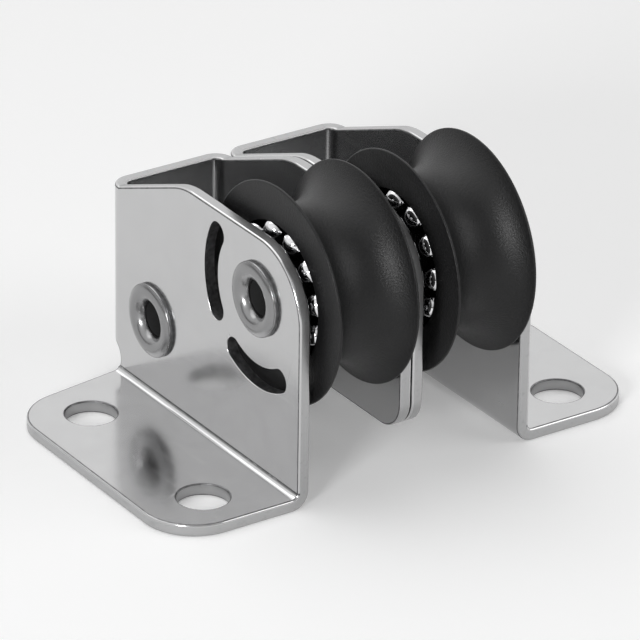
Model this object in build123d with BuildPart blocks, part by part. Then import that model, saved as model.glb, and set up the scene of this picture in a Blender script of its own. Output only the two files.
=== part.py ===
"""Double stand-up block: two folded sheet frames side by side, each with a ball-bearing sheave.

Frame of reference, in millimetres: Z up, the underside of the deck flanges at Z = 0, the origin in
the middle of the four deck holes. X runs along the axle and -Y is the open front of the block.
The left frame (X < 0) is drawn, and the right frame is its mirror image.
"""
from build123d import *
import os

# Sheet of the two frames
sheet = 1.7
fold_radius = 1.0
base_fold_radius = 0.8
frame_seam = 0.15
channel_width = 14.7

# Side view of a frame
web_face_y = 25.65
web_top_z = 28.7
web_bottom_z = 5.9
shoulder_y = 7.0
crown_z = 35.1
shoulder_round = 12.0
nose_round = 9.5
outer_front_y = -21.0
inner_front_y = -20.0
inner_corner_round = 4.5

# Relief hole where the rear web and the deck flange would tear each other at their folds
relief_radius = 2.6
relief_y = 25.1
relief_z = 3.4

# Deck flange
flange_edge_x = 36.8
flange_corner_round = 7.6
flange_rear_edge_y = 20.4
deck_hole_radius = 3.5
deck_hole_x = 28.1
deck_hole_y = 13.8

# Axle and rear rivet: two hollow tubes with rolled ends
axle_y = -10.85
axle_z = 26.3
rear_rivet_y = 14.35
rear_rivet_z = 12.65
tube_radius = 3.2
tube_bore_radius = 2.35
tube_fit = 0.05
mouth_round = 1.55
roll_height = 0.9
roll_rim_height = 0.5
roll_radius = 5.1
roll_edge_round = 0.15

# Lightening slots round the axle
slot_circle_radius = 10.95
slot_width = 3.25
slot_half_angle = 29.5
rear_slot_angle = 0
lower_slot_angle = 270

# Distance sleeves on the axle and spacers on the rear rivet, between the cheeks
sleeve_radius = 4.2
spacer_radius = 4.4

# Sheave: clear of both cheeks, with a thin lip each side of the rope groove
sheave_radius = 15.0
sheave_side_clearance = 1.23
groove_bottom_radius = 10.8
lip_width = 0.32
face_lip_round = 0.15
groove_lip_round = 0.08
bore_edge_round = 0.25

# Rib between the two ball tracks: how far it stands in from the circle of the ball centres
rib_depth = 0.85

# Ball bearing
ball_radius = 1.7
ball_circle_radius = 8.4
ball_row_depth = 1.12
ball_play = 0.1
balls_per_row = 12
race_clearance = 0.35
race_fit = 0.05
race_edge_chamfer = 0.3
left_row_angle = 11.0
right_row_angle = 4.5

# Places that follow from the sizes above
inner_face_x = frame_seam / 2
channel_near_x = inner_face_x + sheet
channel_far_x = channel_near_x + channel_width
outer_face_x = channel_far_x + sheet
sheave_x = (channel_near_x + channel_far_x) / 2
fold_y = web_face_y - sheet - fold_radius
base_fold_z = sheet + base_fold_radius
flange_fold_x = outer_face_x + base_fold_radius
tube_hole_radius = tube_radius + tube_fit
sheave_half_width = channel_width / 2 - sheave_side_clearance
groove_half_width = sheave_half_width - lip_width
ball_row_offset = sheave_half_width - ball_row_depth
sheave_bore_radius = ball_circle_radius - rib_depth
race_radius = sheave_bore_radius - race_clearance
track_radius = ball_radius + ball_play
track_shoulder = ball_row_offset - track_radius
row_pitch_angle = 360 / balls_per_row

os.makedirs("parts", exist_ok=True)


def side_plane(x):
    """Plane across the axle at x: local x is Y and local y is Z."""
    return Plane(origin=(x, 0, 0), x_dir=(0, 1, 0), z_dir=(1, 0, 0))


def shaft_plane(x, y, z, way=1):
    """Plane through the line of a shaft: local x runs along it, to +X or -X, and local y is the radius."""
    return Plane(origin=(x, y, z), x_dir=(way, 0, 0), z_dir=(0, -way, 0))


def row_plane(x):
    """Plane of a row of balls, centred on the axle: angles are counted upwards from the front."""
    return Plane(origin=(x, axle_y, axle_z), x_dir=(0, -1, 0), z_dir=(-1, 0, 0))


def shaft_line(y, z):
    """The line of a shaft, parallel to X."""
    return Axis((0, y, z), (1, 0, 0))


def save(builder, name):
    """Label a finished piece and write it."""
    builder.part.label = name
    export_step(builder.part, f"parts/{name}.step")


def crown_line(front_y, front_z):
    """Upper edge of a cheek, from the rear fold over the crown and the nose down to the front edge."""
    return FilletPolyline(
        (fold_y, web_top_z),
        (shoulder_y, crown_z),
        (front_y, crown_z),
        (front_y, front_z),
        radius=[shoulder_round, nose_round],
    )


# Middle line of a slot, drawn round the axle and level with it
slot_line = CenterArc((0, 0), slot_circle_radius, -slot_half_angle, 2 * slot_half_angle)

# Left frame: one folded sheet with an outer cheek, a rear web, an inner cheek and a deck flange
with BuildPart() as left_frame:
    # Outer cheek, down to the base fold
    with BuildSketch(side_plane(-outer_face_x)):
        with BuildLine():
            crown = crown_line(outer_front_y, base_fold_z + nose_round)
            Polyline(crown @ 1, (outer_front_y, base_fold_z), (fold_y, base_fold_z), crown @ 0)
        make_face()
    extrude(amount=sheet)

    # Base fold and deck flange
    with BuildSketch(Plane.XZ.offset(-outer_front_y)):
        with BuildLine():
            JernArc(
                start=(-outer_face_x + sheet / 2, base_fold_z),
                tangent=(0, -1),
                radius=base_fold_radius + sheet / 2,
                arc_size=-90,
            )
        trace(line_width=sheet)
    extrude(amount=outer_front_y - fold_y)
    with BuildSketch(Plane.XY) as flange_plan:
        with BuildLine():
            Polyline(
                (-flange_fold_x, outer_front_y),
                (-flange_edge_x, outer_front_y),
                (-flange_edge_x, flange_rear_edge_y),
                (-flange_fold_x, fold_y),
                close=True,
            )
        make_face()
        fillet(flange_plan.vertices().group_by(Axis.X)[0], flange_corner_round)
        with Locations((-deck_hole_x, -deck_hole_y), (-deck_hole_x, deck_hole_y)):
            Circle(deck_hole_radius, mode=Mode.SUBTRACT)
    extrude(amount=sheet)

    # Slots round the axle
    with BuildSketch(side_plane(-outer_face_x)):
        with Locations((axle_y, axle_z)):
            for middle_angle in (rear_slot_angle, lower_slot_angle):
                SlotArc(slot_line, slot_width, rotation=middle_angle)
    extrude(amount=sheet, mode=Mode.SUBTRACT)

    # Inner cheek, which stops short of the deck
    with BuildSketch(side_plane(-channel_near_x)):
        with BuildLine():
            crown = crown_line(inner_front_y, web_bottom_z + nose_round)
            FilletPolyline(
                crown @ 1,
                (inner_front_y, web_bottom_z),
                (fold_y, web_bottom_z),
                radius=inner_corner_round,
            )
            Line((fold_y, web_bottom_z), crown @ 0)
        make_face()
    extrude(amount=sheet)

    # Outer rear fold, which reaches below the web until the relief hole trims it
    with BuildSketch(Plane.XY.offset(relief_z)):
        with BuildLine():
            outer_fold = JernArc(
                start=(-outer_face_x + sheet / 2, fold_y),
                tangent=(0, 1),
                radius=fold_radius + sheet / 2,
                arc_size=-90,
            )
        trace(line_width=sheet)
    extrude(amount=web_top_z - relief_z)
    with BuildSketch(side_plane(-flange_edge_x)):
        with Locations((relief_y, relief_z)):
            Circle(relief_radius)
    extrude(amount=flange_edge_x - channel_far_x + fold_radius, mode=Mode.SUBTRACT)

    # Rear web and its inner fold, along the middle of the sheet
    with BuildSketch(Plane.XY.offset(web_bottom_z)):
        with BuildLine():
            web = Line(outer_fold @ 1, (-channel_near_x - fold_radius, web_face_y - sheet / 2))
            JernArc(start=web @ 1, tangent=(1, 0), radius=fold_radius + sheet / 2, arc_size=-90)
        trace(line_width=sheet)
    extrude(amount=web_top_z - web_bottom_z)

    # Holes for the two tubes
    with BuildSketch(side_plane(-outer_face_x)):
        with Locations((axle_y, axle_z), (rear_rivet_y, rear_rivet_z)):
            Circle(tube_hole_radius)
    extrude(amount=outer_face_x - inner_face_x, mode=Mode.SUBTRACT)
save(left_frame, "left_frame")

# Right frame: the mirror image of the left one
with BuildPart() as right_frame:
    mirror(left_frame.part, about=Plane.YZ)
save(right_frame, "right_frame")

# Axle tube and rear tube: hollow rivets through all four cheeks, rolled over at both ends
for tube_name, tube_y, tube_z in (
    ("axle_tube", axle_y, axle_z),
    ("rear_tube", rear_rivet_y, rear_rivet_z),
):
    with BuildPart() as tube:
        with BuildSketch(shaft_plane(0, tube_y, tube_z)) as tube_section:
            with BuildLine():
                bore = Line((0, tube_bore_radius), (outer_face_x + roll_height - mouth_round, tube_bore_radius))
                crest = (outer_face_x + roll_height, tube_bore_radius + mouth_round)
                mouth = TangentArc(bore @ 1, crest, tangent=bore % 1)
                front = TangentArc(crest, (outer_face_x + roll_rim_height, roll_radius), tangent=mouth % 1)
                Polyline(
                    front @ 1,
                    (outer_face_x, roll_radius),
                    (outer_face_x, tube_radius),
                    (0, tube_radius),
                    bore @ 0,
                )
            make_face()
            rim_corner = tube_section.vertices().group_by(Axis.Y)[-1].sort_by(Axis.X)[-1]
            fillet(rim_corner, roll_edge_round)
            mirror(about=Plane.YZ)
        revolve(axis=shaft_line(tube_y, tube_z))
    save(tube, tube_name)

for side, way, row_angle in (("left", -1, left_row_angle), ("right", 1, right_row_angle)):
    # Distance sleeve on the axle and spacer on the rear rivet: plain rings from cheek to cheek
    for ring_name, ring_y, ring_z, ring_radius in (
        ("axle_sleeve", axle_y, axle_z, sleeve_radius),
        ("rear_spacer", rear_rivet_y, rear_rivet_z, spacer_radius),
    ):
        with BuildPart() as ring:
            with BuildSketch(side_plane(way * sheave_x - channel_width / 2)):
                with Locations((ring_y, ring_z)):
                    Circle(ring_radius)
                    Circle(tube_hole_radius, mode=Mode.SUBTRACT)
            extrude(amount=channel_width)
        save(ring, f"{side}_{ring_name}")

    # Sheave: a deep round rope groove outside, and two ball tracks with a rib between them inside
    with BuildPart() as sheave:
        with BuildSketch(shaft_plane(way * sheave_x, axle_y, axle_z)) as sheave_section:
            with BuildLine():
                Polyline(
                    (0, groove_bottom_radius),
                    (0, sheave_bore_radius),
                    (track_shoulder, sheave_bore_radius),
                    (track_shoulder, ball_circle_radius),
                    (sheave_half_width, ball_circle_radius),
                    (sheave_half_width, sheave_radius),
                    (groove_half_width, sheave_radius),
                )
                TangentArc((0, groove_bottom_radius), (groove_half_width, sheave_radius), tangent=(1, 0))
            make_face()
            with Locations((ball_row_offset, ball_circle_radius)):
                Circle(track_radius, mode=Mode.SUBTRACT)
            lip = sheave_section.vertices().group_by(Axis.Y)[-1].sort_by(Axis.X)
            fillet(lip[-1], face_lip_round)
            lip = sheave_section.vertices().group_by(Axis.Y)[-1].sort_by(Axis.X)
            fillet(lip[0], groove_lip_round)
            bore_corner = sheave_section.vertices().group_by(Axis.Y)[0].sort_by(Axis.X)[-1]
            fillet(bore_corner, bore_edge_round)
            mirror(about=Plane.YZ)
        revolve(axis=shaft_line(axle_y, axle_z))
    save(sheave, f"{side}_sheave")

    for row_name, row_way in (("outer", way), ("inner", -way)):
        # Race half: it stands between the middle of the sheave and a cheek, and carries one row
        with BuildPart() as race:
            with BuildSketch(shaft_plane(way * sheave_x, axle_y, axle_z, row_way)) as race_section:
                with BuildLine():
                    Polyline(
                        (0, sleeve_radius + race_fit),
                        (channel_width / 2, sleeve_radius + race_fit),
                        (channel_width / 2, race_radius),
                        (0, race_radius),
                        close=True,
                    )
                make_face()
                chamfer(race_section.vertices().group_by(Axis.Y)[-1].sort_by(Axis.X)[-1], race_edge_chamfer)
                with Locations((ball_row_offset, ball_circle_radius)):
                    Circle(track_radius, mode=Mode.SUBTRACT)
            revolve(axis=shaft_line(axle_y, axle_z))
        save(race, f"{side}_{row_name}_race")

        # Row of balls, staggered by half a pitch from the other row of the sheave
        first_angle = row_angle + (row_pitch_angle / 2 if row_way > 0 else 0)
        row_x = way * sheave_x + row_way * ball_row_offset
        with BuildPart(row_plane(row_x)) as row:
            with PolarLocations(ball_circle_radius, balls_per_row, start_angle=first_angle):
                Sphere(ball_radius)
        save(row, f"{side}_{row_name}_balls")
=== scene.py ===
"""Double stand-up block, dressed: rounded folded sheet, rolled rivets, moulded sheaves and bright ball rows.

Every size is in metres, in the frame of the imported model: Z up from the deck, X along the axle and -Y out
of the open front. The left half is worked out and the right half is its mirror image.
"""
import math
from collections import namedtuple

import bmesh
import bpy
from mathutils import Matrix, Vector


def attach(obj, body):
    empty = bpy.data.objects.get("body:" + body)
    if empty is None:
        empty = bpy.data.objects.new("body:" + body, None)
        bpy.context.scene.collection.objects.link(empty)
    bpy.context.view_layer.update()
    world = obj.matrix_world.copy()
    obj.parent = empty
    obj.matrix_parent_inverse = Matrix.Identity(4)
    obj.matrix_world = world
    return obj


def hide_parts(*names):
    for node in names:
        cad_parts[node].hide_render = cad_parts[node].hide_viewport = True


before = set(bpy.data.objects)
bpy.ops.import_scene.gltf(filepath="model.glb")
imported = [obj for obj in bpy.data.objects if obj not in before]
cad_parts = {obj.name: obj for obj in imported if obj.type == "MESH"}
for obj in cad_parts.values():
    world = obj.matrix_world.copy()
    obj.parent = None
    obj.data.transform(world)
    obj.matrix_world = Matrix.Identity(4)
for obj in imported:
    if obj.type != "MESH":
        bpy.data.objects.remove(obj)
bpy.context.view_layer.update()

bl_info = {
    "name": "Double Stand-up Block",
    "version": (1, 0, 0),
    "blender": (4, 5, 0),
    "location": "View3D > Sidebar > Stand-up Block",
    "description": "Builds the sheet, rivets, sheaves and ball rows of a double stand-up block",
    "category": "Add Mesh",
}

MM = 0.001
SIDES = (("left", -1), ("right", 1))

# Material slots of a frame and of a rivet, with their finishes in order
# The slot finish also paints dark lines of shade and reflection; the inside and hole finishes are darker as
# painted shade.
FACE, EDGE, SLOT_AND_SHADE, SHADED_INSIDE, SHADED_HOLE = range(5)
SHEET_FINISHES = ("steel", "edge", "sheared_and_shade", "inside", "hole")
# The rivet's bore and the foot of its rim take dark finishes: painted shade in the bore and a painted contact
# shadow round the rim.
TUBE_BORE_SHADE, TUBE_RIM_SHADOW = 1, 2
TUBE_FINISHES = ("rivet", "bore", "sheared_and_shade")

# Steps of the curved faces, and how far the painted dark lines of shade and reflection at the rims and the
# fold reach
ROUNDING_STEPS, DARK_STEP = 5, 3
FOLD_CUTS, CREASE_SHADE_CUTS = 10, 1.5
RELIEF_STEPS = 28
SLOT_OUTER_STEPS, SLOT_INNER_STEPS, SLOT_END_STEPS = 24, 20, 16
TUBE_STEPS, SHEAVE_STEPS, RACE_STEPS = 144, 192, 128
MOUTH_STEPS, CREST_STEPS, GROOVE_STEPS, TRACK_STEPS, RACE_TRACK_STEPS = 16, 12, 22, 18, 16

# Where the folds lie on the flat pattern of a frame
Folds = namedtuple("Folds", ("rear_s", "rear_arc", "inner_s", "base_t", "foot_t"))


# Sizes and colours that a user would change

def length(name, description, default, low=0.0):
    """A length in metres. A place that may lie below zero has a lower limit."""
    return bpy.props.FloatProperty(
        name=name, description=description, default=default, min=low, precision=5, unit="LENGTH",
        subtype="DISTANCE"
    )


def count(name, description, default):
    """A whole number of pieces."""
    return bpy.props.IntProperty(name=name, description=description, default=default, min=1)


def angle(name, description, default):
    """An angle, given here in degrees."""
    return bpy.props.FloatProperty(
        name=name, description=description, default=math.radians(default), unit="ROTATION", subtype="ANGLE"
    )


def colour(name, description, default):
    """A base colour."""
    return bpy.props.FloatVectorProperty(
        name=name, description=description, default=default, size=3, min=0.0, max=1.0, subtype="COLOR"
    )


def amount(name, description, default):
    """A share from 0 to 1."""
    return bpy.props.FloatProperty(
        name=name, description=description, default=default, min=0.0, max=1.0, subtype="FACTOR"
    )


class SheetSizes(bpy.types.PropertyGroup):
    """Folded sheet of a frame."""
    thickness: length("Sheet", "Thickness of the sheet", 1.7 * MM)
    fold_radius: length("Fold radius", "Inside radius of the two rear folds", 1.0 * MM)
    base_fold_radius: length("Base fold radius", "Inside radius of the fold of the foot", 0.8 * MM)
    inner_face: length("Inner face", "From the middle of the block to the inner cheek", 0.075 * MM)
    channel: length("Channel", "Clear width between the cheeks of a frame", 14.7 * MM)
    web_face: length("Web", "Rear face of the web", 25.65 * MM)
    web_top: length("Web top", "Upper edge of the web", 28.7 * MM)
    web_bottom: length("Web bottom", "Lower edge of the web and of the inner cheek", 5.9 * MM)
    shoulder: length("Shoulder", "Where the slope of a cheek meets its level top", 7.0 * MM)
    crown: length("Crown", "Level top of the cheeks", 35.1 * MM)
    shoulder_round: length("Shoulder round", "Radius at the shoulder", 12.0 * MM)
    nose_round: length("Nose round", "Radius of the upper front corner", 9.5 * MM)
    outer_front: length("Outer front", "Front edge of the outer cheek", 21.0 * MM)
    inner_front: length("Inner front", "Front edge of the inner cheek", 20.0 * MM)
    inner_round: length("Inner corner", "Radius of the inner cheek's lower front corner", 4.5 * MM)
    relief_radius: length("Relief hole", "Radius of the relief hole behind the foot", 2.6 * MM)
    relief_y: length("Relief hole Y", "Middle of the relief hole", 25.1 * MM)
    foot_edge: length("Foot edge", "Outer edge of the foot, from the middle of the block", 36.8 * MM)
    foot_round: length("Foot corner", "Radius of the foot's outer corners", 7.6 * MM)
    foot_rear: length("Foot rear", "Rear outer corner of the foot", 20.4 * MM)
    deck_hole: length("Deck hole", "Radius of the deck holes", 3.5 * MM)
    deck_hole_x: length("Deck hole X", "Deck holes, from the middle of the block", 28.1 * MM)
    deck_hole_y: length("Deck hole Y", "Deck holes, before and behind the middle", 13.8 * MM)
    rivet_hole: length("Rivet hole", "Radius of the holes for the two tubes", 3.25 * MM)
    slot_circle: length("Slot circle", "Radius of the slots' middle line round the axle", 10.95 * MM)
    slot_width: length("Slot width", "Width of the slots", 3.25 * MM)
    slot_half: angle("Slot half angle", "Half the sweep of a slot's middle line", 29.5)
    edge_round: length("Edge round", "Rounding of the sheet's outer edges", 0.3 * MM)
    hole_round: length("Hole round", "Rounding of the deck holes' edges", 0.2 * MM)
    slot_round: length("Slot round", "Rounding of the slots' and rivet holes' edges", 0.1 * MM)


class TurnedSizes(bpy.types.PropertyGroup):
    """Axle, rear rivet, sheaves and race halves, all turned about lines parallel to X."""
    axle_y: length("Axle Y", "Middle of the axle along Y", -10.85 * MM, low=-1.0)
    axle_z: length("Axle Z", "Middle of the axle above the deck", 26.3 * MM)
    rivet_y: length("Rivet Y", "Middle of the rear rivet along Y", 14.35 * MM)
    rivet_z: length("Rivet Z", "Middle of the rear rivet above the deck", 12.65 * MM)
    tube: length("Tube", "Outer radius of the two tubes", 3.2 * MM)
    bore: length("Bore", "Inner radius of the two tubes", 2.35 * MM)
    mouth: length("Mouth", "Rounding from the bore to the roll's crest", 1.55 * MM)
    roll: length("Roll", "Outer radius of the rolled ends", 5.1 * MM)
    roll_height: length("Roll height", "How far a rolled end stands proud", 0.9 * MM)
    rim_height: length("Rim height", "Height of a rolled end at its rim", 0.5 * MM)
    rim_round: length("Rim round", "Rounding of the rim of a rolled end", 0.22 * MM)
    sheave: length("Sheave", "Radius of the sheaves", 15.0 * MM)
    half_width: length("Half width", "Half the width of a sheave", 6.12 * MM)
    groove: length("Groove", "Radius at the bottom of the rope groove", 10.8 * MM)
    groove_half: length("Groove half width", "Half the width of the rope groove", 5.8 * MM)
    lip_round: length("Lip round", "Rounding from a sheave's side to its rim", 0.2 * MM)
    groove_lip: length("Groove lip", "Rounding from the rim into the groove", 0.12 * MM)
    sheave_bore: length("Rib bore", "Radius of the rib between the ball tracks", 7.55 * MM)
    rib_round: length("Rib round", "Rounding of the rib's edges", 0.25 * MM)
    track_play: length("Play", "Play between the balls and their tracks", 0.1 * MM)
    race: length("Race", "Outer radius of a race half", 7.2 * MM)
    race_bore: length("Race bore", "Inner radius of a race half", 4.25 * MM)
    race_round: length("Race round", "Rounding of the race's outer edge", 0.3 * MM)


class BallSizes(bpy.types.PropertyGroup):
    """Rows of balls."""
    ball: length("Ball", "Radius of the balls", 1.7 * MM)
    circle: length("Ball circle", "Radius of the circle through the balls' middles", 8.4 * MM)
    row_offset: length("Row offset", "From the middle of a sheave to a row", 5.0 * MM)
    per_row: count("Balls", "Balls in each row", 12)
    left_angle: angle("Left sheave's start", "Where the left row of the left sheave starts", 11.0)
    right_angle: angle("Right sheave's start", "Where the left row of the right sheave starts", 4.5)


class Finishes(bpy.types.PropertyGroup):
    """Colours and roughness of the finishes."""
    steel: colour("Sheet steel", "Polished stainless sheet", (0.57, 0.57, 0.573))
    # Inner steel is darker than the sheet steel: painted shade on the inner sides of the channel.
    inside: colour("Inner steel painted shade", "Rougher inner sides of the folded sheet, darker as painted shade", (0.46, 0.46, 0.463))
    steel_rough: amount("Sheet roughness", "Roughness of the polished sheet", 0.16)
    edge: colour("Sheet edge", "Satin edge of the sheet", (0.45, 0.45, 0.453))
    # Hole wall is darker than the sheet steel: painted shade in the deck holes; its roughness is the drilled
    # wall's own.
    hole: colour("Hole wall painted shade", "Drilled walls of the deck holes", (0.38, 0.38, 0.383))
    # Sheared wall: the slots' punched walls, and also the painted dark lines of shade, reflection and contact
    # shadow.
    sheared_and_shade: colour("Sheared wall and painted shade", "Punched walls of the slots and painted dark lines of shade and reflection", (0.12, 0.12, 0.122))
    # Bore is near black: painted shade inside the tubes.
    bore: colour("Bore painted shade", "Bores of the tubes, dark as painted shade", (0.04, 0.04, 0.0405))
    rivet: colour("Rivet steel", "Rolled tubes", (0.29, 0.29, 0.293))
    ball: colour("Ball steel", "Balls", (0.8, 0.8, 0.81))
    sheave: colour("Sheave plastic", "Moulded sheaves", (0.0075, 0.0075, 0.0078))
    race: colour("Race plastic", "Race halves", (0.012, 0.012, 0.013))
    floor: colour("Floor", "Floor and backdrop", (0.9, 0.9, 0.9))


# Outlines

def rounded(corners, step=3.5):
    """Outline through corners (x, y, radius), with an arc at each that has a radius. Steps are in degrees."""
    outline = []
    for index, (x, y, radius) in enumerate(corners):
        here = Vector((x, y))
        if not radius:
            outline.append(here)
            continue
        back = (Vector(corners[index - 1][:2]) - here).normalized()
        ahead = (Vector(corners[(index + 1) % len(corners)][:2]) - here).normalized()
        half = back.angle(ahead) / 2
        centre = here + (back + ahead).normalized() * radius / math.sin(half)
        start = here + back * radius / math.tan(half) - centre
        end = here + ahead * radius / math.tan(half) - centre
        turn = start.angle_signed(end)
        steps = max(2, round(math.degrees(abs(turn)) / step))
        for index_step in range(steps + 1):
            swing = turn * index_step / steps
            outline.append(centre + Matrix.Rotation(-swing, 2) @ start)
    return outline


def circle(x, y, radius, steps=64):
    """Clockwise circle, so that the sheet lies to its left."""
    return [
        Vector((x + radius * math.cos(t), y - radius * math.sin(t)))
        for t in (math.tau * index / steps for index in range(steps))
    ]


def arc(x, y, radius, start, end, steps):
    """Points on an arc, from one angle to another in degrees, both ends included."""
    swings = (math.radians(start + (end - start) * index / steps) for index in range(steps + 1))
    return [Vector((x + radius * math.cos(t), y + radius * math.sin(t))) for t in swings]


def inset(outline, distance):
    """Closed outline moved into the sheet, which lies to the left of its direction."""
    moved = []
    for index, here in enumerate(outline):
        before = (here - outline[index - 1]).normalized()
        after = (outline[(index + 1) % len(outline)] - here).normalized()
        first, second = Vector((-before.y, before.x)), Vector((-after.y, after.x))
        moved.append(here + (first + second) * distance / (1 + first.dot(second)))
    return moved


# Folded sheet

def outer_face(sheet):
    """From the middle of the block to the outer face of an outer cheek."""
    return sheet.inner_face + 2 * sheet.thickness + sheet.channel


def channel_middle(sheet):
    """From the middle of the block to the middle of a frame's channel."""
    return sheet.inner_face + sheet.thickness + sheet.channel / 2


def find_folds(sheet):
    """Where the folds lie on the flat pattern.

    Across runs s, which is Y on the outer cheek and goes on round the web to the inner cheek. The two rear
    folds start at rear_s and end at inner_s, each rear_arc long. Up runs t, which is Z above the foot's fold.
    That fold runs from base_t down to foot_t.
    """
    half = sheet.thickness / 2
    rear_s = sheet.web_face - sheet.thickness - sheet.fold_radius
    rear_arc = (sheet.fold_radius + half) * math.pi / 2
    base_t = sheet.thickness + sheet.base_fold_radius
    foot_t = base_t - (sheet.base_fold_radius + half) * math.pi / 2
    inner_s = rear_s + 2 * rear_arc + sheet.channel - 2 * sheet.fold_radius
    return Folds(rear_s, rear_arc, inner_s, base_t, foot_t)


def flat_pattern(sheet, turned, folds):
    """Outlines of a frame before folding, each with its edge rounding and the finish of its wall."""
    rear_s, inner_s, foot_t = folds.rear_s, folds.inner_s, folds.foot_t
    foot_x = outer_face(sheet) + sheet.base_fold_radius
    relief_z = sheet.web_bottom - sheet.relief_radius
    leave = math.degrees(math.acos((rear_s - sheet.relief_y) / sheet.relief_radius))
    relief = arc(sheet.relief_y, relief_z, sheet.relief_radius, 360 - leave, 90, RELIEF_STEPS)
    edge_t = foot_t - (sheet.foot_edge - foot_x)
    outline = rounded(
        [
            (-sheet.outer_front, edge_t, sheet.foot_round),
            (sheet.foot_rear, edge_t, sheet.foot_round),
            (rear_s, foot_t, 0),
            *((point.x, point.y, 0) for point in relief),
            (inner_s, sheet.web_bottom, 0),
            (inner_s + rear_s + sheet.inner_front, sheet.web_bottom, sheet.inner_round),
            (inner_s + rear_s + sheet.inner_front, sheet.crown, sheet.nose_round),
            (inner_s + rear_s - sheet.shoulder, sheet.crown, sheet.shoulder_round),
            (inner_s, sheet.web_top, 0),
            (rear_s, sheet.web_top, 0),
            (sheet.shoulder, sheet.crown, sheet.shoulder_round),
            (-sheet.outer_front, sheet.crown, sheet.nose_round),
        ]
    )
    loops = [(outline, sheet.edge_round, EDGE)]
    hole_t = foot_t - (sheet.deck_hole_x - foot_x)
    for hole_y in (-sheet.deck_hole_y, sheet.deck_hole_y):
        # Deck hole walls take the darker hole finish: painted shade.
        loops.append((circle(hole_y, hole_t, sheet.deck_hole), sheet.hole_round, SHADED_HOLE))
    for y, z in ((turned.axle_y, turned.axle_z), (turned.rivet_y, turned.rivet_z)):
        for hole_s in (y, inner_s + rear_s - y):
            loops.append((circle(hole_s, z, sheet.rivet_hole), sheet.slot_round, EDGE))
    axle = Vector((turned.axle_y, turned.axle_z))
    wide = sheet.slot_width / 2
    sweep = math.degrees(sheet.slot_half)
    behind, below = 0, 270
    for middle in (behind, below):
        low, high = middle - sweep, middle + sweep
        first, last = (
            axle + sheet.slot_circle * Vector((math.cos(math.radians(end)), math.sin(math.radians(end))))
            for end in (low, high)
        )
        slot = (
            arc(*axle, sheet.slot_circle + wide, low, high, SLOT_OUTER_STEPS)
            + arc(*last, wide, high, high + 180, SLOT_END_STEPS)[1:-1]
            + arc(*axle, sheet.slot_circle - wide, high, low, SLOT_INNER_STEPS)
            + arc(*first, wide, low + 180, low + 360, SLOT_END_STEPS)[1:-1]
        )
        loops.append((slot[::-1], sheet.slot_round, SLOT_AND_SHADE))
    return loops


def folded(s, t, height, sheet, folds):
    """Place of a point of the flat pattern on the left frame, at a height over the middle of the sheet."""
    rear_s, rear_arc, inner_s, base_t, foot_t = folds
    half = sheet.thickness / 2
    outer = outer_face(sheet)
    rear = sheet.fold_radius + half
    base = sheet.base_fold_radius + half
    touching = 1e-6
    if s <= rear_s + touching:
        if t >= base_t:
            return Vector((-outer + half - height, s, t))
        turn_x = -outer - sheet.base_fold_radius
        if t <= foot_t:
            return Vector((turn_x + t - foot_t, s, base_t - base + height))
        bend = (base_t - t) / base
        reach = base - height
        return Vector((turn_x + reach * math.cos(bend), s, base_t - reach * math.sin(bend)))
    near = -outer + sheet.thickness + sheet.fold_radius
    far = -sheet.inner_face - sheet.thickness - sheet.fold_radius
    if s < rear_s + rear_arc:
        bend = (s - rear_s) / rear
        return Vector((near - (rear + height) * math.cos(bend), rear_s + (rear + height) * math.sin(bend), t))
    if s <= inner_s - rear_arc:
        return Vector((near + s - rear_s - rear_arc, rear_s + rear + height, t))
    if s < inner_s:
        bend = (s - inner_s + rear_arc) / rear
        return Vector((far + (rear + height) * math.sin(bend), rear_s + (rear + height) * math.cos(bend), t))
    return Vector((-sheet.inner_face - half + height, rear_s + inner_s - s, t))


def filled_pattern(loops):
    """Flat mesh of one side of the sheet, with rounded rims.

    Each vertex keeps its drop below the sheet's face and the finish of the wall there. Dark bands have the
    slot finish: painted dark reflection lines on the inner rounding of the outline and on the deck holes'
    roundings.
    """
    flat = bmesh.new()
    drop = flat.verts.layers.float.new("drop")
    wall_finish = flat.verts.layers.int.new("wall_finish")
    fill_edges = []
    for order, (outline, rounding, kind) in enumerate(loops):
        rings = []
        for step in range(ROUNDING_STEPS + 1):
            swing = math.pi / 2 * step / ROUNDING_STEPS
            ring = []
            for point in inset(outline, rounding * (1 - math.cos(swing))):
                vertex = flat.verts.new((point.x, point.y, 0))
                vertex[drop] = rounding * (1 - math.sin(swing))
                vertex[wall_finish] = kind
                ring.append(vertex)
            rings.append(ring)
        size = len(outline)
        for step, (outer, inner) in enumerate(zip(rings, rings[1:])):
            # Dark bands are painted dark reflection: the inner rounding of the outline and all of a deck
            # hole's rounding.
            dark = kind == SHADED_HOLE or order == 0 and step >= DARK_STEP
            for index in range(size):
                after = (index + 1) % size
                band = flat.faces.new((outer[index], outer[after], inner[after], inner[index]))
                band.material_index = SLOT_AND_SHADE if dark else FACE
        last = rings[-1]
        fill_edges += [flat.edges.get((last[index], last[(index + 1) % size])) for index in range(size)]
    bmesh.ops.triangle_fill(flat, use_beauty=True, edges=fill_edges, normal=(0, 0, 1))
    for face in flat.faces:
        face.normal_update()
        if face.normal.z < 0:
            face.normal_flip()
    return flat


def cut_folds(flat, folds):
    """Cuts the flat mesh across its folds, so that it can bend there."""
    steps = range(FOLD_CUTS + 1)
    across = [folds.rear_s + folds.rear_arc * index / FOLD_CUTS for index in steps]
    across += [folds.inner_s - folds.rear_arc * index / FOLD_CUTS for index in steps]
    up = [folds.base_t + (folds.foot_t - folds.base_t) * index / FOLD_CUTS for index in steps]
    for place, facing in [((s, 0, 0), (1, 0, 0)) for s in across] + [((0, t, 0), (0, 1, 0)) for t in up]:
        bmesh.ops.bisect_plane(flat, geom=[*flat.verts, *flat.edges, *flat.faces], dist=1e-8,
                               plane_co=place, plane_no=facing)
    flat.verts.index_update()


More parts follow.
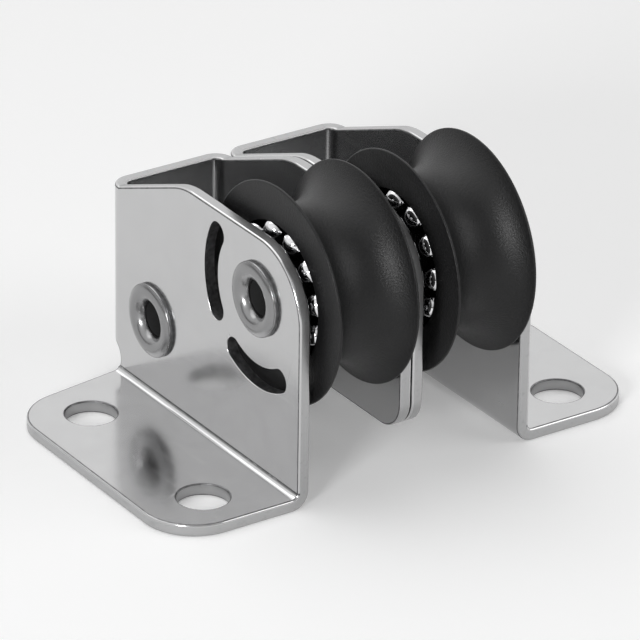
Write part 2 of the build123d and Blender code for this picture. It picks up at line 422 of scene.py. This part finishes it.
def sheet_mesh(name, sheet, turned, way):
    """One folded frame: its flat pattern is filled, cut along its folds, bent and given its thickness.

    The band just above the fold of the foot is dark: painted shade in the crease of the fold.
    """
    folds = find_folds(sheet)
    flat = filled_pattern(flat_pattern(sheet, turned, folds))
    cut_folds(flat, folds)
    drop = flat.verts.layers.float["drop"]
    wall_finish = flat.verts.layers.int["wall_finish"]
    crease_shade_t = folds.base_t - (folds.base_t - folds.foot_t) * CREASE_SHADE_CUTS / FOLD_CUTS
    solid = bmesh.new()
    top, under = [], []
    for vertex in flat.verts:
        height = sheet.thickness / 2 - vertex[drop]
        for side, height_way in ((top, 1), (under, -1)):
            place = folded(vertex.co.x, vertex.co.y, height * height_way, sheet, folds)
            side.append(solid.verts.new((place.x * -way, place.y, place.z)))
    for face in flat.faces:
        ring = [vertex.index for vertex in face.verts]
        dark = face.material_index == SLOT_AND_SHADE
        middle = face.calc_center_median()
        # Faces just above the fold of the foot are dark: painted shade in the crease.
        crease_shade = middle.x < folds.rear_s and crease_shade_t < middle.y < folds.base_t
        solid.faces.new([top[index] for index in ring]).material_index = SLOT_AND_SHADE if dark or crease_shade else FACE
        # The under side, inside the channel, takes the darker inner steel: painted shade.
        solid.faces.new([under[index] for index in reversed(ring)]).material_index = SLOT_AND_SHADE if dark else SHADED_INSIDE
    for edge in flat.edges:
        if len(edge.link_faces) == 1:
            a, b = (vertex.index for vertex in edge.verts)
            wall = solid.faces.new((top[a], top[b], under[b], under[a]))
            wall.material_index = edge.verts[0][wall_finish]
    flat.free()
    return finished_mesh(name, solid)


def finished_mesh(name, solid):
    """Mesh of a closed bmesh, which it frees, with every face turned outwards."""
    bmesh.ops.recalc_face_normals(solid, faces=solid.faces)
    mesh = bpy.data.meshes.new(name)
    solid.to_mesh(mesh)
    solid.free()
    return mesh


# Turned pieces

def turned_mesh(name, profile, centre_x, y, z, steps):
    """A closed outline (x, radius) turned about a line parallel to X."""
    shape = bmesh.new()
    rings = []
    for x, radius in profile:
        rings.append([
            shape.verts.new((centre_x + x, y + radius * math.cos(t), z + radius * math.sin(t)))
            for t in (math.tau * index / steps for index in range(steps))
        ])
    for index, ring in enumerate(rings):
        after = rings[(index + 1) % len(rings)]
        for step in range(steps):
            ahead = (step + 1) % steps
            shape.faces.new((ring[step], ring[ahead], after[ahead], after[step]))
    return finished_mesh(name, shape)


def section(corners, step):
    """Rounded section as (x, radius). Arc steps are in degrees."""
    return [(point.x, point.y) for point in rounded(corners, step)]


def quarter(x, r, radius, steps):
    """Quarter of a circle that leaves (x, r) along +X and turns outwards."""
    swings = (math.pi / 2 * index / steps for index in range(steps + 1))
    return [(x + radius * math.sin(t), r + radius * (1 - math.cos(t))) for t in swings]


def tangent_arc(x, y, end_x, end_y, steps):
    """Points on the arc that leaves (x, y) along +X and ends at another point."""
    rise, run = end_y - y, end_x - x
    radius = (run * run + rise * rise) / (2 * rise)
    sweep = math.atan2(run, radius - rise)
    return [
        (x + radius * math.sin(sweep * index / steps), y + radius * (1 - math.cos(sweep * index / steps)))
        for index in range(steps + 1)
    ]


def sheave_profile(turned, balls):
    """Right half of a sheave's section, from the bottom of the groove round to the rib, as (x, radius)."""
    track = balls.ball + turned.track_play
    groove = tangent_arc(0, turned.groove, turned.groove_half, turned.sheave, GROOVE_STEPS)
    reach = math.acos((turned.half_width - balls.row_offset) / track)
    swings = [reach + (math.pi - reach) * index / TRACK_STEPS for index in range(TRACK_STEPS + 1)]
    return section([
        *((x, r, 0) for x, r in groove[:-1]),
        (*groove[-1], turned.groove_lip),
        (turned.half_width, turned.sheave, turned.lip_round),
        *((balls.row_offset + track * math.cos(t), balls.circle + track * math.sin(t), 0) for t in swings),
        (balls.row_offset - track, turned.sheave_bore, turned.rib_round),
        (0, turned.sheave_bore, 0),
    ], step=9)


def both_halves(half_profile):
    """A section on both sides of the middle line, from its right half, which starts and ends on that line."""
    return half_profile + [(-x, r) for x, r in reversed(half_profile[1:-1])]


def tube_profile(turned, half_length):
    """Right half of a hollow rivet's section with its rolled end."""
    tip = half_length + turned.roll_height
    crest = turned.bore + turned.mouth
    drop = turned.roll_height - turned.rim_height
    reach = turned.roll - crest
    bow = (reach * reach + drop * drop) / (2 * drop)
    swing = math.asin(reach / bow)
    swings = [swing * index / CREST_STEPS for index in range(1, CREST_STEPS)]
    return section([
        (0, turned.bore, 0),
        *((x, r, 0) for x, r in quarter(tip - turned.mouth, turned.bore, turned.mouth, MOUTH_STEPS)),
        *((tip - bow * (1 - math.cos(t)), crest + bow * math.sin(t), 0) for t in swings),
        (half_length + turned.rim_height, turned.roll, turned.rim_round),
        (half_length, turned.roll, 0),
        (half_length, turned.tube, 0),
        (0, turned.tube, 0),
    ], step=12)


def race_profile(turned, balls, half_channel):
    """Section of the race half on the +X side."""
    track = balls.ball + turned.track_play
    swing = math.acos((balls.circle - turned.race) / track)
    swings = [swing - 2 * swing * index / RACE_TRACK_STEPS for index in range(RACE_TRACK_STEPS + 1)]
    return section([
        (0, turned.race_bore, 0),
        (half_channel, turned.race_bore, 0),
        (half_channel, turned.race, turned.race_round),
        *((balls.row_offset + track * math.sin(t), balls.circle - track * math.cos(t), 0) for t in swings),
        (0, turned.race, 0),
    ], step=15)


# Shader helpers

def group(name, inputs, outputs):
    """Empty shader group with named sockets: inputs (name, default) and outputs (name, kind)."""
    tree = bpy.data.node_groups.new(name, "ShaderNodeTree")
    for socket, default in inputs:
        made = tree.interface.new_socket(socket, in_out="INPUT", socket_type="NodeSocketFloat")
        made.default_value = default
    for socket, kind in outputs:
        tree.interface.new_socket(socket, in_out="OUTPUT", socket_type=kind)
    return tree, tree.nodes.new("NodeGroupInput"), tree.nodes.new("NodeGroupOutput")


def add(tree, kind, inputs=None, **settings):
    """New node with its settings. An input is a value, or a socket to link from."""
    node = tree.nodes.new(kind)
    for name, value in settings.items():
        setattr(node, name, value)
    for name, value in (inputs or {}).items():
        if isinstance(value, bpy.types.NodeSocket):
            tree.links.new(value, node.inputs[name])
        else:
            node.inputs[name].default_value = value
    return node


def calc(tree, operation, *values):
    """Result of a maths node on values or sockets."""
    return add(tree, "ShaderNodeMath", dict(enumerate(values)), operation=operation).outputs[0]


def ramp(tree, value, start, end, low, high):
    """Smooth run from low to high while a value goes from start to end."""
    limits = {"Value": value, "From Min": start, "From Max": end, "To Min": low, "To Max": high}
    return add(tree, "ShaderNodeMapRange", limits, interpolation_type="SMOOTHSTEP").outputs[0]


def mix(tree, factor, low, high):
    """Value from low to high by a factor."""
    return add(tree, "ShaderNodeMix", {"Factor": factor, "A": low, "B": high}, data_type="FLOAT").outputs[0]


def noise(tree, place, scale, **values):
    """Noise of a given scale. Other values go to its sockets."""
    inputs = {"Vector": place, "Scale": scale, **values}
    return add(tree, "ShaderNodeTexNoise", inputs).outputs["Fac"]


def grain_group():
    """Fine moulded grain: a speckle mask and its height. Sizes are in millimetres."""
    tree, inside, outside = group(
        "Moulded Grain", [("Grain size", 0.2), ("Patch size", 4.0), ("Patch share", 0.3)],
        [("Speckle", "NodeSocketFloat"), ("Height", "NodeSocketFloat")],
    )
    place = add(tree, "ShaderNodeTexCoord").outputs["Object"]
    fine = calc(tree, "DIVIDE", 1000.0, inside.outputs["Grain size"])
    coarse = calc(tree, "DIVIDE", 1000.0, inside.outputs["Patch size"])
    grain = noise(tree, place, fine, Detail=3.0, Roughness=0.6)
    patch = noise(tree, place, coarse, Detail=2.0)
    tree.links.new(mix(tree, inside.outputs["Patch share"], grain, patch), outside.inputs["Speckle"])
    tree.links.new(grain, outside.inputs["Height"])
    return tree


def polish_group():
    """Polished metal: faint long waves, hairlines along two directions and soft smears."""
    tree, inside, outside = group(
        "Polish Marks", [("Hairline scale", 900.0), ("Stretch", 0.03), ("Wave scale", 120.0)],
        [("Smear", "NodeSocketFloat"), ("Hairlines", "NodeSocketFloat"), ("Wave", "NodeSocketFloat")],
    )
    place = add(tree, "ShaderNodeTexCoord").outputs["Object"]
    squeeze = add(tree, "ShaderNodeCombineXYZ", {"X": 1.0, "Y": inside.outputs["Stretch"], "Z": 1.0})
    lines = []
    for turn in ((0.3, 0.2, 0.5), (1.2, 0.9, 2.1)):
        aim = add(tree, "ShaderNodeMapping", {"Vector": place, "Rotation": turn, "Scale": squeeze.outputs[0]})
        streaks = noise(tree, aim.outputs[0], inside.outputs["Hairline scale"], Detail=2.0)
        keep = add(tree, "ShaderNodeMapRange", {"Value": streaks, "From Min": 0.62, "From Max": 0.74})
        lines.append(keep.outputs[0])
    smear = noise(tree, place, scale=260.0, Detail=4.0, Distortion=0.6)
    wave = noise(tree, place, inside.outputs["Wave scale"], Detail=1.0)
    tree.links.new(smear, outside.inputs["Smear"])
    tree.links.new(calc(tree, "MAXIMUM", *lines), outside.inputs["Hairlines"])
    tree.links.new(wave, outside.inputs["Wave"])
    return tree


def material(name):
    """New node material, with its tree and its Principled BSDF."""
    made = bpy.data.materials.new(name)
    made.use_nodes = True
    tree = made.node_tree
    tree.nodes.clear()
    shader = add(tree, "ShaderNodeBsdfPrincipled")
    add(tree, "ShaderNodeOutputMaterial", {"Surface": shader.outputs["BSDF"]})
    return made, tree, shader


def shade(tone, factor):
    """A colour made darker or lighter, with its alpha."""
    return (*(min(1.0, channel * factor) for channel in tone), 1.0)


def surface(name, shared, base, scales, tone, rough, relief=None, hair=0.0, sockets=None):
    """Material whose colour, roughness and relief follow the masks of a shared group.

    scales are the group's own values, in order. tone is a mask and the shares of the base colour that it runs
    between, and rough a mask and two roughnesses. relief is a height with its bump's strength and distance,
    and hair is what a hairline adds to the roughness. sockets are uniform values of the shader.
    """
    made, tree, shader = material(name)
    for socket, value in (sockets or {}).items():
        shader.inputs[socket].default_value = value
    marks = tree.nodes.new("ShaderNodeGroup")
    marks.node_tree = shared
    for socket, value in zip(marks.inputs, scales):
        socket.default_value = value
    mask, low, high = tone
    colours = {"Factor": marks.outputs[mask], "A": shade(base, low), "B": shade(base, high)}
    mixed = add(tree, "ShaderNodeMix", colours, data_type="RGBA")
    tree.links.new(mixed.outputs["Result"], shader.inputs["Base Color"])
    mask, low, high = rough
    limits = {"Value": marks.outputs[mask], "To Min": low, "To Max": high}
    roughness = add(tree, "ShaderNodeMapRange", limits).outputs[0]
    if hair:
        roughness = calc(tree, "MULTIPLY_ADD", marks.outputs["Hairlines"], hair, roughness)
    tree.links.new(roughness, shader.inputs["Roughness"])
    if relief:
        height, strength, distance = relief
        values = {"Height": marks.outputs[height], "Strength": strength, "Distance": distance}
        tree.links.new(add(tree, "ShaderNodeBump", values).outputs["Normal"], shader.inputs["Normal"])
    return made


def make_materials(look):
    """All finishes, by name."""
    grain, polish = grain_group(), polish_group()
    metal = {"Metallic": 1.0}
    made = {}
    # The inner steel and the drilled wall are darker than the polished sheet as painted shade; their higher
    # roughness is their own.
    for key, name, base, dullness in (("steel", "Polished Sheet", look.steel, 1.0),
                                      ("inside", "Inner Sheet Painted Shade", look.inside, 1.4),
                                      ("hole", "Drilled Wall Painted Shade", look.hole, 2.0)):
        rough = look.steel_rough * dullness
        made[key] = surface(name, polish, base, scales=(900.0, 0.03, 120.0), tone=("Smear", 0.95, 1.05),
                            rough=("Smear", rough * 0.8, rough * 1.25), relief=("Wave", 0.12, 0.0002),
                            hair=0.03, sockets=metal)
    made["edge"] = surface("Satin Sheet Edge", polish, look.edge, scales=(1400.0, 0.2, 500.0),
                           tone=("Hairlines", 1.0, 0.88), rough=("Smear", 0.26, 0.42),
                           relief=("Wave", 0.2, 0.00008), sockets=metal)
    # This finish is the slots' own punched walls, and also paints dark lines of shade and reflection at rims,
    # in the fold's crease and round the rivets' rims.
    made["sheared_and_shade"] = surface("Sheared Wall and Painted Shade", polish, look.sheared_and_shade, scales=(2600.0, 0.3, 1500.0),
                              tone=("Wave", 0.4, 2.4), rough=("Smear", 0.3, 0.65),
                              relief=("Wave", 0.7, 0.00015), sockets=metal)
    made["rivet"] = surface("Rolled Rivet", polish, look.rivet, scales=(2200.0, 0.1, 450.0),
                            tone=("Smear", 0.9, 1.05), rough=("Smear", 0.16, 0.3),
                            relief=("Wave", 0.18, 0.0001), sockets=metal)
    # The bore finish is near black: painted shade inside the tubes.
    made["bore"] = surface("Bore Painted Shade", polish, look.bore, scales=(2200.0, 0.1, 450.0),
                           tone=("Smear", 0.85, 1.15), rough=("Smear", 0.5, 0.7),
                           sockets={"Specular IOR Level": 0.1})
    made["ball"] = surface("Bright Ball", polish, look.ball, scales=(3200.0, 0.15, 900.0),
                           tone=("Smear", 0.95, 1.0), rough=("Smear", 0.03, 0.08), sockets=metal)
    made["sheave"] = surface("Moulded Sheave", grain, look.sheave, scales=(0.26, 3.0, 0.2),
                             tone=("Speckle", 0.4, 1.8), rough=("Speckle", 0.24, 0.54),
                             relief=("Height", 0.8, 0.00008), sockets={"Specular IOR Level": 0.3})
    made["race"] = surface("Glossy Race", grain, look.race, scales=(0.5, 5.0, 0.6),
                           tone=("Speckle", 0.8, 1.2), rough=("Speckle", 0.12, 0.24))
    return made


def floor_material(tone, glow):
    """Plain diffuse floor that camera, mirror and glass rays see a little lighter."""
    made, tree, shader = material("Plain Floor")
    shader.inputs["Base Color"].default_value = (*tone, 1.0)
    shader.inputs["Roughness"].default_value = 0.9
    shader.inputs["Specular IOR Level"].default_value = 0.0
    shader.inputs["Emission Color"].default_value = (1.0, 1.0, 1.0, 1.0)
    rays = add(tree, "ShaderNodeLightPath").outputs
    seen = calc(tree, "MAXIMUM", rays["Is Camera Ray"], rays["Is Glossy Ray"])
    seen = calc(tree, "MAXIMUM", seen, rays["Is Transmission Ray"])
    tree.links.new(calc(tree, "MULTIPLY", seen, glow), shader.inputs["Emission Strength"])
    return made


# Placing

def stand(name, mesh, body, slot, *nodes, finishes=()):
    """A finished piece: shown in place of its nodes, moving with its body."""
    for key in finishes:
        mesh.materials.append(finish(key))
    mesh.polygons.foreach_set("use_smooth", [True] * len(mesh.polygons))
    piece = bpy.data.objects.new(name, mesh)
    bpy.context.scene.collection.objects.link(piece)
    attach(piece, body)
    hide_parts(*nodes)
    return piece


def even_shading(piece):
    """Flat faces keep their own direction, and the rounding between them is smooth."""
    weighted = piece.modifiers.new("Even Shading", "WEIGHTED_NORMAL")
    weighted.mode = "FACE_AREA"
    weighted.weight = 80
    weighted.keep_sharp = False


def finish(key):
    """A material by its key. All are made the first time that one is asked for."""
    scene = bpy.context.scene
    if not scene.get("block_materials"):
        made = make_materials(scene.block_finishes)
        scene["block_materials"] = {name: value.name for name, value in made.items()}
    return bpy.data.materials[scene["block_materials"][key]]


# Ball rows

def ball_rows_tree():
    """Geometry Nodes: two rings of balls that stand across the axle, made real and given their finish."""
    tree = bpy.data.node_groups.new("Ball Rows", "GeometryNodeTree")
    tree.is_modifier = True
    inputs = {
        "Ball radius": "Float", "Circle radius": "Float", "Balls per row": "Int", "Row offset": "Float",
        "Left row angle": "Float", "Right row angle": "Float", "Middle": "Vector", "Finish": "Material",
    }
    for name, kind in inputs.items():
        tree.interface.new_socket(name, in_out="INPUT", socket_type=f"NodeSocket{kind}")
    tree.interface.new_socket("Geometry", in_out="OUTPUT", socket_type="NodeSocketGeometry")
    inside, outside = tree.nodes.new("NodeGroupInput"), tree.nodes.new("NodeGroupOutput")
    given = inside.outputs
    ball = add(tree, "GeometryNodeMeshIcoSphere", {"Radius": given["Ball radius"], "Subdivisions": 4})
    ring = add(tree, "GeometryNodeMeshCircle", {"Vertices": given["Balls per row"],
                                                "Radius": given["Circle radius"]})
    join = tree.nodes.new("GeometryNodeJoinGeometry")
    for way, row in ((-1.0, "Left row angle"), (1.0, "Right row angle")):
        spin = add(tree, "ShaderNodeCombineXYZ", {"Z": calc(tree, "MULTIPLY", given[row], -1.0)})
        turned = add(tree, "GeometryNodeTransform", {"Geometry": ring.outputs["Mesh"],
                                                     "Rotation": spin.outputs[0]})
        along = add(tree, "ShaderNodeCombineXYZ", {"X": calc(tree, "MULTIPLY", given["Row offset"], way)})
        to = add(tree, "ShaderNodeVectorMath", {0: given["Middle"], 1: along.outputs[0]}, operation="ADD")
        upright = add(tree, "GeometryNodeTransform", {"Geometry": turned.outputs[0],
                                                      "Translation": to.outputs[0],
                                                      "Rotation": (0.0, math.pi / 2, 0.0)})
        row_balls = add(tree, "GeometryNodeInstanceOnPoints", {"Points": upright.outputs[0],
                                                               "Instance": ball.outputs["Mesh"]})
        tree.links.new(row_balls.outputs[0], join.inputs[0])
    real = add(tree, "GeometryNodeRealizeInstances", {"Geometry": join.outputs[0]})
    done = add(tree, "GeometryNodeSetMaterial", {"Geometry": real.outputs[0], "Material": given["Finish"]})
    tree.links.new(done.outputs[0], outside.inputs["Geometry"])
    return tree


def baked(tree, values):
    """Mesh that a Geometry Nodes tree makes with the given inputs."""
    holder = bpy.data.objects.new("Holder", bpy.data.meshes.new("Holder"))
    bpy.context.scene.collection.objects.link(holder)
    nodes = holder.modifiers.new("Nodes", "NODES")
    nodes.node_group = tree
    sockets = {item.name: item.identifier for item in tree.interface.items_tree if item.in_out == "INPUT"}
    for name, value in values.items():
        nodes[sockets[name]] = value
    mesh = bpy.data.meshes.new_from_object(holder.evaluated_get(bpy.context.evaluated_depsgraph_get()))
    holder.modifiers.remove(nodes)
    bpy.data.objects.remove(holder)
    return mesh


# Stage

def make_world(scene):
    """Pale room: white to the camera, softer to diffuse rays, and uneven in the mirrors."""
    world = bpy.data.worlds.new("Pale Room")
    scene.world = world
    world.use_nodes = True
    tree = world.node_tree
    tree.nodes.clear()
    rays = add(tree, "ShaderNodeLightPath").outputs
    seen = calc(tree, "MAXIMUM", rays["Is Camera Ray"], rays["Is Transmission Ray"])
    ways = add(tree, "ShaderNodeTexCoord").outputs["Generated"]
    toward = add(tree, "ShaderNodeSeparateXYZ", {0: ways}).outputs
    skirt = ramp(tree, toward["Z"], start=0.03, end=0.30, low=0.2, high=1.0)
    side = ramp(tree, toward["X"], start=-0.7, end=-0.3, low=0.2, high=1.0)
    front = ramp(tree, toward["Y"], start=-0.9, end=-0.1, low=0.5, high=1.0)
    overhead = ramp(tree, toward["Z"], start=0.75, end=0.95, low=1.0, high=0.35)
    mirrored = calc(tree, "MULTIPLY", calc(tree, "MAXIMUM", skirt, side), overhead)
    mirrored = calc(tree, "MULTIPLY", mirrored, front)
    diffuse, white = 0.3, 1.0
    strength = mix(tree, seen, mix(tree, rays["Is Glossy Ray"], diffuse, mirrored), white)
    back = add(tree, "ShaderNodeBackground", {"Color": (1.0, 1.0, 1.0, 1.0), "Strength": strength})
    add(tree, "ShaderNodeOutputWorld", {"Surface": back.outputs[0]})


def make_lamps(scene):
    """Square softboxes aimed at the block, each with its place, size in metres and power in watts."""
    target = Vector((0, 0, 0.018))
    for name, place, size, watts in (
        ("Key Softbox", (0.42, -0.36, 0.31), 0.40, 1.0),
        ("Top Softbox", (-0.05, 0.25, 0.60), 0.72, 1.9),
        ("Left Softbox", (-0.53, -0.34, 0.19), 0.15, 2.2),
    ):
        lamp = bpy.data.lights.new(name, "AREA")
        lamp.shape = "SQUARE"
        lamp.size = size
        lamp.energy = watts
        holder = bpy.data.objects.new(name, lamp)
        holder.location = place
        holder.rotation_mode = "QUATERNION"
        holder.rotation_quaternion = (target - Vector(place)).to_track_quat("-Z", "Y")
        scene.collection.objects.link(holder)


def make_camera(scene):
    """Camera of the photograph, solved from the block's holes, corners and rims.

    Turn, lift and roll are in degrees, the aim and the distance from it in millimetres, and the focal length
    in pixels of the photograph's width.
    """
    turn, lift, roll = (math.radians(value) for value in (-33.895, 26.439, 0.825))
    aim, distance = Vector((-2.008, -1.406, 15.0)) * MM, 773.5
    focal_pixels, picture_pixels = 5871.8, 640
    back = Vector((math.sin(turn) * math.cos(lift), -math.cos(turn) * math.cos(lift), math.sin(lift)))
    right = Vector((math.cos(turn), math.sin(turn), 0))
    up = back.cross(right)
    right, up = (right * math.cos(roll) + up * math.sin(roll), up * math.cos(roll) - right * math.sin(roll))
    camera = bpy.data.cameras.new("camera")
    camera.sensor_width = 36.0
    camera.lens = focal_pixels * camera.sensor_width / picture_pixels
    camera.clip_start, camera.clip_end = 0.01, 20.0
    eye = bpy.data.objects.new("camera", camera)
    facing = Matrix((right, up, back)).transposed().to_4x4()
    eye.matrix_world = Matrix.Translation(aim + back * distance * MM) @ facing
    scene.collection.objects.link(eye)
    scene.camera = eye


# Operators

class BLOCK_OT_stage(bpy.types.Operator):
    """Make the floor, the backdrop, the lamps and the camera"""
    bl_idname = "block.stage"
    bl_label = "Stage"

    def execute(self, context):
        scene = context.scene
        reach = 3.0
        mesh = bpy.data.meshes.new("floor")
        corners = [(x, y, 0) for x, y in ((-reach, -reach), (reach, -reach), (reach, reach), (-reach, reach))]
        mesh.from_pydata(corners, [], [(0, 1, 2, 3)])
        mesh.materials.append(floor_material(scene.block_finishes.floor, glow=0.15))
        floor = bpy.data.objects.new("floor", mesh)
        scene.collection.objects.link(floor)
        make_world(scene)
        make_lamps(scene)
        make_camera(scene)
        scene.view_settings.view_transform = "Standard"
        return {"FINISHED"}


class BLOCK_OT_frames(bpy.types.Operator):
    """Make the two folded sheet frames"""
    bl_idname = "block.frames"
    bl_label = "Folded Frames"

    def execute(self, context):
        sheet, turned = context.scene.block_sheet, context.scene.block_turned
        for side, way in SIDES:
            name = f"{side}_sheet"
            mesh = sheet_mesh(name, sheet, turned, way)
            even_shading(stand(name, mesh, "frame", "frame_steel", f"{side}_frame", finishes=SHEET_FINISHES))
        return {"FINISHED"}


class BLOCK_OT_rivets(bpy.types.Operator):
    """Make the hollow axle and the hollow rear rivet with their rolled ends"""
    bl_idname = "block.rivets"
    bl_label = "Rolled Rivets"

    def execute(self, context):
        sheet, turned = context.scene.block_sheet, context.scene.block_turned
        half_length = outer_face(sheet)
        profile = both_halves(tube_profile(turned, half_length))
        bore_shade_reach, rim_shadow_reach = turned.bore * 1.002, turned.roll * 0.98
        rim_shadow_x = half_length + turned.rim_height / 2
        for name, node, y, z in (("axle_roll", "axle_tube", turned.axle_y, turned.axle_z),
                                 ("rear_roll", "rear_tube", turned.rivet_y, turned.rivet_z)):
            mesh = turned_mesh(name, profile, 0, y, z, TUBE_STEPS)
            for face in mesh.polygons:
                reach = math.hypot(face.center.y - y, face.center.z - z)
                # Bore faces are near black: painted shade.
                if reach < bore_shade_reach:
                    face.material_index = TUBE_BORE_SHADE
                # The foot of the rolled end's rim is dark: a painted contact shadow on the sheet.
                elif reach > rim_shadow_reach and abs(face.center.x) < rim_shadow_x:
                    face.material_index = TUBE_RIM_SHADOW
            even_shading(stand(name, mesh, "frame", "rivet_steel", node, finishes=TUBE_FINISHES))
        return {"FINISHED"}


class BLOCK_OT_sheaves(bpy.types.Operator):
    """Make the two moulded sheaves"""
    bl_idname = "block.sheaves"
    bl_label = "Moulded Sheaves"

    def execute(self, context):
        turned = context.scene.block_turned
        profile = both_halves(sheave_profile(turned, context.scene.block_balls))
        middle = channel_middle(context.scene.block_sheet)
        for side, way in SIDES:
            name = f"{side}_pulley"
            mesh = turned_mesh(name, profile, way * middle, turned.axle_y, turned.axle_z, SHEAVE_STEPS)
            node = f"{side}_sheave"
            even_shading(stand(name, mesh, node, "sheave_plastic", node, finishes=("sheave",)))
        return {"FINISHED"}


class BLOCK_OT_bearings(bpy.types.Operator):
    """Make the race halves and the ball rows"""
    bl_idname = "block.bearings"
    bl_label = "Races and Balls"

    def execute(self, context):
        scene = context.scene
        sheet, turned, balls = scene.block_sheet, scene.block_turned, scene.block_balls
        tree = ball_rows_tree()
        middle = channel_middle(sheet)
        profile = race_profile(turned, balls, sheet.channel / 2)
        for side, way in SIDES:
            for row, row_way in (("outer", way), ("inner", -way)):
                name = f"{side}_{row}_race_half"
                facing = [(x * row_way, r) for x, r in profile]
                mesh = turned_mesh(name, facing, way * middle, turned.axle_y, turned.axle_z, RACE_STEPS)
                node = f"{side}_{row}_race"
                even_shading(stand(name, mesh, "frame", "race_plastic", node, finishes=("race",)))
            start = balls.left_angle if way < 0 else balls.right_angle
            mesh = baked(tree, {
                "Ball radius": balls.ball, "Circle radius": balls.circle, "Balls per row": balls.per_row,
                "Row offset": balls.row_offset, "Left row angle": start,
                "Right row angle": start + math.pi / balls.per_row,
                "Middle": (way * middle, turned.axle_y, turned.axle_z), "Finish": finish("ball"),
            })
            stand(f"{side}_ball_rows", mesh, f"{side}_balls", "ball_steel", f"{side}_outer_balls",
                  f"{side}_inner_balls")
        return {"FINISHED"}


class BLOCK_OT_hidden(bpy.types.Operator):
    """Finish the sleeves and spacers that stay as they are"""
    bl_idname = "block.hidden"
    bl_label = "Sleeves and Spacers"

    def execute(self, context):
        for side, _ in SIDES:
            for part in ("axle_sleeve", "rear_spacer"):
                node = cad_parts[f"{side}_{part}"]
                node.data.materials.clear()
                node.data.materials.append(finish("edge"))
        return {"FINISHED"}


class BLOCK_PT_panel(bpy.types.Panel):
    """Sidebar panel with the block's pieces"""
    bl_idname = "BLOCK_PT_panel"
    bl_label = "Stand-up Block"
    bl_space_type = "VIEW_3D"
    bl_region_type = "UI"
    bl_category = "Stand-up Block"

    def draw(self, context):
        for operator in OPERATORS:
            self.layout.operator(operator.bl_idname)


GROUPS = {"block_sheet": SheetSizes, "block_turned": TurnedSizes, "block_balls": BallSizes,
          "block_finishes": Finishes}
OPERATORS = (BLOCK_OT_stage, BLOCK_OT_frames, BLOCK_OT_rivets, BLOCK_OT_sheaves, BLOCK_OT_bearings,
             BLOCK_OT_hidden)
CLASSES = (*GROUPS.values(), *OPERATORS, BLOCK_PT_panel)


def register():
    """Registers the classes and the block's sizes."""
    for item in CLASSES:
        bpy.utils.register_class(item)
    for name, kind in GROUPS.items():
        setattr(bpy.types.Scene, name, bpy.props.PointerProperty(type=kind))


def unregister():
    """Takes the classes and the sizes out again."""
    for name in GROUPS:
        delattr(bpy.types.Scene, name)
    for item in reversed(CLASSES):
        bpy.utils.unregister_class(item)


def main():
    """Makes the whole block."""
    register()
    bpy.ops.block.stage()
    bpy.ops.block.frames()
    bpy.ops.block.rivets()
    bpy.ops.block.sheaves()
    bpy.ops.block.bearings()
    bpy.ops.block.hidden()


if __name__ == "__main__":
    main()
